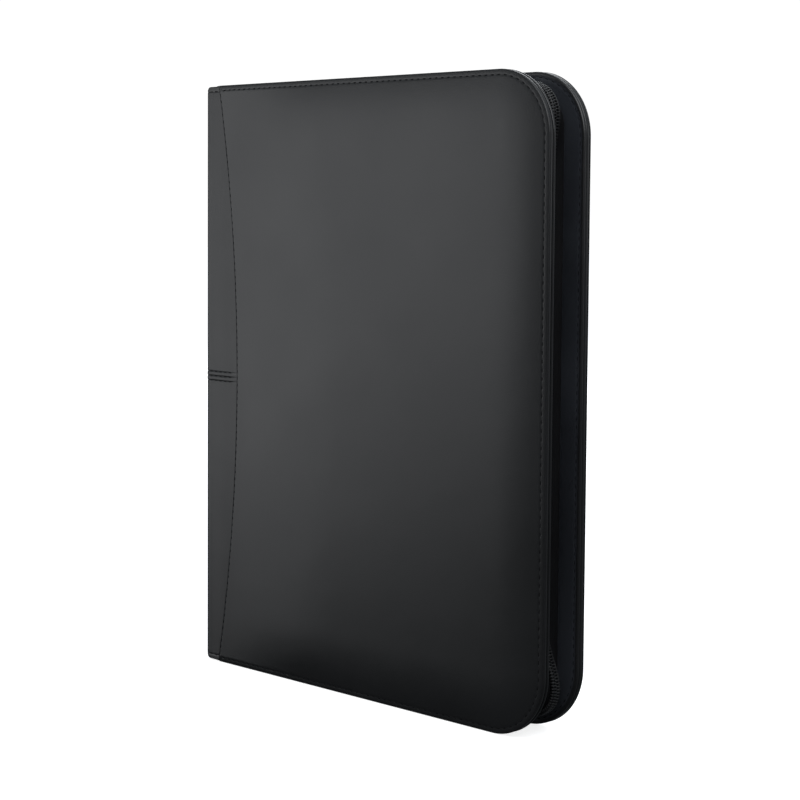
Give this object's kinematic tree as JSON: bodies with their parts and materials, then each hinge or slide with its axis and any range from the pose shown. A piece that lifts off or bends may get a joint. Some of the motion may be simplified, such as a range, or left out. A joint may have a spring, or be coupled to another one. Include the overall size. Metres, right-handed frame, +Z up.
{
  "type": "trading card binder",
  "caption": "Black padded zip-round card binder standing upright, with hinged covers, spine, side-loading pocket leaves and a coil zip with its slider.",
  "frame": {"origin": "under the middle of the closed binder, on the surface it stands on", "axes": "+Z up along the spine, the front cover faces -Y, the spine is at -X and the zip's fore edge at +X"},
  "size_m": [0.264, 0.036, 0.34],
  "materials": {
    "leather": "smooth black synthetic leather, satin, fine grain",
    "spine_leather": "smooth black synthetic leather, satin",
    "leather_edge": "turned and stitched black synthetic leather edge",
    "lining": "black smooth lining cloth",
    "board": "grey-brown binder's board, hidden",
    "foam": "thin padding foam, hidden",
    "zip_tape": "black woven polyester zip tape",
    "zip_coil": "black nylon zip coil, satin",
    "slider": "black enamelled die-cast zinc",
    "binding": "black moulded plastic",
    "rivets": "nickel-plated steel rivets",
    "leaf_core": "black polypropylene sheet",
    "pocket_film": "clear glossy film welded over a black sheet"
  },
  "bodies": {
    "spine": {"spine_board": "board", "spine_leather": "spine_leather", "spine_lining": "lining", "binding_bar": "binding", "binding_rivets": "rivets", "leaf_tabs": "leaf_core"},
    "front_cover": {"front_board": "board", "front_foam": "foam", "front_leather": "leather", "front_flap": "spine_leather", "front_welt": "leather_edge", "front_lining": "lining", "front_tape": "zip_tape", "front_coil": "zip_coil", "front_stop": "rivets"},
    "back_cover": {"back_board": "board", "back_foam": "foam", "back_leather": "leather", "back_flap": "spine_leather", "back_welt": "leather_edge", "back_lining": "lining", "back_tape": "zip_tape", "back_coil": "zip_coil", "back_stops": "rivets"},
    "slider": {"slider_body": "slider", "slider_bail": "slider", "slider_pin": "slider"},
    "pull": {"pull_tab": "slider"},
    "leaf_01": {"leaf_01": "pocket_film"},
    "leaf_02": {"leaf_02": "pocket_film"},
    "leaf_03": {"leaf_03": "pocket_film"},
    "leaf_04": {"leaf_04": "pocket_film"},
    "leaf_05": {"leaf_05": "pocket_film"},
    "leaf_06": {"leaf_06": "pocket_film"},
    "leaf_07": {"leaf_07": "pocket_film"},
    "leaf_08": {"leaf_08": "pocket_film"},
    "leaf_09": {"leaf_09": "pocket_film"},
    "leaf_10": {"leaf_10": "pocket_film"},
    "leaf_11": {"leaf_11": "pocket_film"},
    "leaf_12": {"leaf_12": "pocket_film"},
    "leaf_13": {"leaf_13": "pocket_film"},
    "leaf_14": {"leaf_14": "pocket_film"},
    "leaf_15": {"leaf_15": "pocket_film"},
    "leaf_16": {"leaf_16": "pocket_film"},
    "leaf_17": {"leaf_17": "pocket_film"},
    "leaf_18": {"leaf_18": "pocket_film"},
    "leaf_19": {"leaf_19": "pocket_film"},
    "leaf_20": {"leaf_20": "pocket_film"}
  },
  "joints": [
    {"name": "front_hinge", "type": "hinge", "parent": "spine", "child": "front_cover", "pos_m": [-0.129, -0.0135, 0.17], "axis": [0, 0, -1], "range_deg": [0, 90]},
    {"name": "back_hinge", "type": "hinge", "parent": "spine", "child": "back_cover", "pos_m": [-0.129, 0.0135, 0.17], "axis": [0, 0, 1], "range_deg": [0, 90]},
    {"name": "slider_run", "type": "slide", "parent": "back_cover", "child": "slider", "axis": [1, 0, 0], "range_m": [0, 0.175], "deforming": ["front_coil", "back_coil"]},
    {"name": "pull_hinge", "type": "hinge", "parent": "slider", "child": "pull", "pos_m": [-0.1002, 0, 0.3345], "axis": [0, -1, 0], "range_deg": [0, 175]},
    {"name": "leaf_01_hinge", "type": "hinge", "parent": "spine", "child": "leaf_01", "pos_m": [-0.1211, -0.0095, 0.17], "axis": [0, 0, -1], "range_deg": [0, 86.9]},
    {"name": "leaf_02_hinge", "type": "hinge", "parent": "spine", "child": "leaf_02", "pos_m": [-0.1211, -0.0085, 0.17], "axis": [0, 0, -1], "range_deg": [0, 77.9]},
    {"name": "leaf_03_hinge", "type": "hinge", "parent": "spine", "child": "leaf_03", "pos_m": [-0.1211, -0.0075, 0.17], "axis": [0, 0, -1], "range_deg": [0, 68.9]},
    {"name": "leaf_04_hinge", "type": "hinge", "parent": "spine", "child": "leaf_04", "pos_m": [-0.1211, -0.0065, 0.17], "axis": [0, 0, -1], "range_deg": [0, 59.9]},
    {"name": "leaf_05_hinge", "type": "hinge", "parent": "spine", "child": "leaf_05", "pos_m": [-0.1211, -0.0055, 0.17], "axis": [0, 0, -1], "range_deg": [0, 50.9]},
    {"name": "leaf_06_hinge", "type": "hinge", "parent": "spine", "child": "leaf_06", "pos_m": [-0.1211, -0.0045, 0.17], "axis": [0, 0, -1], "range_deg": [0, 41.9]},
    {"name": "leaf_07_hinge", "type": "hinge", "parent": "spine", "child": "leaf_07", "pos_m": [-0.1211, -0.0035, 0.17], "axis": [0, 0, -1], "range_deg": [0, 32.9]},
    {"name": "leaf_08_hinge", "type": "hinge", "parent": "spine", "child": "leaf_08", "pos_m": [-0.1211, -0.0025, 0.17], "axis": [0, 0, -1], "range_deg": [0, 23.9]},
    {"name": "leaf_09_hinge", "type": "hinge", "parent": "spine", "child": "leaf_09", "pos_m": [-0.1211, -0.0015, 0.17], "axis": [0, 0, -1], "range_deg": [0, 14.9]},
    {"name": "leaf_10_hinge", "type": "hinge", "parent": "spine", "child": "leaf_10", "pos_m": [-0.1211, -0.0005, 0.17], "axis": [0, 0, -1], "range_deg": [0, 5.9]},
    {"name": "leaf_11_hinge", "type": "hinge", "parent": "spine", "child": "leaf_11", "pos_m": [-0.1211, 0.0005, 0.17], "axis": [0, 0, 1], "range_deg": [0, 5.9]},
    {"name": "leaf_12_hinge", "type": "hinge", "parent": "spine", "child": "leaf_12", "pos_m": [-0.1211, 0.0015, 0.17], "axis": [0, 0, 1], "range_deg": [0, 14.9]},
    {"name": "leaf_13_hinge", "type": "hinge", "parent": "spine", "child": "leaf_13", "pos_m": [-0.1211, 0.0025, 0.17], "axis": [0, 0, 1], "range_deg": [0, 23.9]},
    {"name": "leaf_14_hinge", "type": "hinge", "parent": "spine", "child": "leaf_14", "pos_m": [-0.1211, 0.0035, 0.17], "axis": [0, 0, 1], "range_deg": [0, 32.9]},
    {"name": "leaf_15_hinge", "type": "hinge", "parent": "spine", "child": "leaf_15", "pos_m": [-0.1211, 0.0045, 0.17], "axis": [0, 0, 1], "range_deg": [0, 41.9]},
    {"name": "leaf_16_hinge", "type": "hinge", "parent": "spine", "child": "leaf_16", "pos_m": [-0.1211, 0.0055, 0.17], "axis": [0, 0, 1], "range_deg": [0, 50.9]},
    {"name": "leaf_17_hinge", "type": "hinge", "parent": "spine", "child": "leaf_17", "pos_m": [-0.1211, 0.0065, 0.17], "axis": [0, 0, 1], "range_deg": [0, 59.9]},
    {"name": "leaf_18_hinge", "type": "hinge", "parent": "spine", "child": "leaf_18", "pos_m": [-0.1211, 0.0075, 0.17], "axis": [0, 0, 1], "range_deg": [0, 68.9]},
    {"name": "leaf_19_hinge", "type": "hinge", "parent": "spine", "child": "leaf_19", "pos_m": [-0.1211, 0.0085, 0.17], "axis": [0, 0, 1], "range_deg": [0, 77.9]},
    {"name": "leaf_20_hinge", "type": "hinge", "parent": "spine", "child": "leaf_20", "pos_m": [-0.1211, 0.0095, 0.17], "axis": [0, 0, 1], "range_deg": [0, 86.9]}
  ],
  "couplings": [
    {"joint": "leaf_01_hinge", "follows": "front_hinge", "ratio": 0.96},
    {"joint": "leaf_02_hinge", "follows": "front_hinge", "ratio": 0.86},
    {"joint": "leaf_03_hinge", "follows": "front_hinge", "ratio": 0.76},
    {"joint": "leaf_04_hinge", "follows": "front_hinge", "ratio": 0.66},
    {"joint": "leaf_05_hinge", "follows": "front_hinge", "ratio": 0.56},
    {"joint": "leaf_06_hinge", "follows": "front_hinge", "ratio": 0.46},
    {"joint": "leaf_07_hinge", "follows": "front_hinge", "ratio": 0.36},
    {"joint": "leaf_08_hinge", "follows": "front_hinge", "ratio": 0.26},
    {"joint": "leaf_09_hinge", "follows": "front_hinge", "ratio": 0.16},
    {"joint": "leaf_10_hinge", "follows": "front_hinge", "ratio": 0.06},
    {"joint": "leaf_11_hinge", "follows": "back_hinge", "ratio": 0.06},
    {"joint": "leaf_12_hinge", "follows": "back_hinge", "ratio": 0.16},
    {"joint": "leaf_13_hinge", "follows": "back_hinge", "ratio": 0.26},
    {"joint": "leaf_14_hinge", "follows": "back_hinge", "ratio": 0.36},
    {"joint": "leaf_15_hinge", "follows": "back_hinge", "ratio": 0.46},
    {"joint": "leaf_16_hinge", "follows": "back_hinge", "ratio": 0.56},
    {"joint": "leaf_17_hinge", "follows": "back_hinge", "ratio": 0.66},
    {"joint": "leaf_18_hinge", "follows": "back_hinge", "ratio": 0.76},
    {"joint": "leaf_19_hinge", "follows": "back_hinge", "ratio": 0.86},
    {"joint": "leaf_20_hinge", "follows": "back_hinge", "ratio": 0.96}
  ]
}
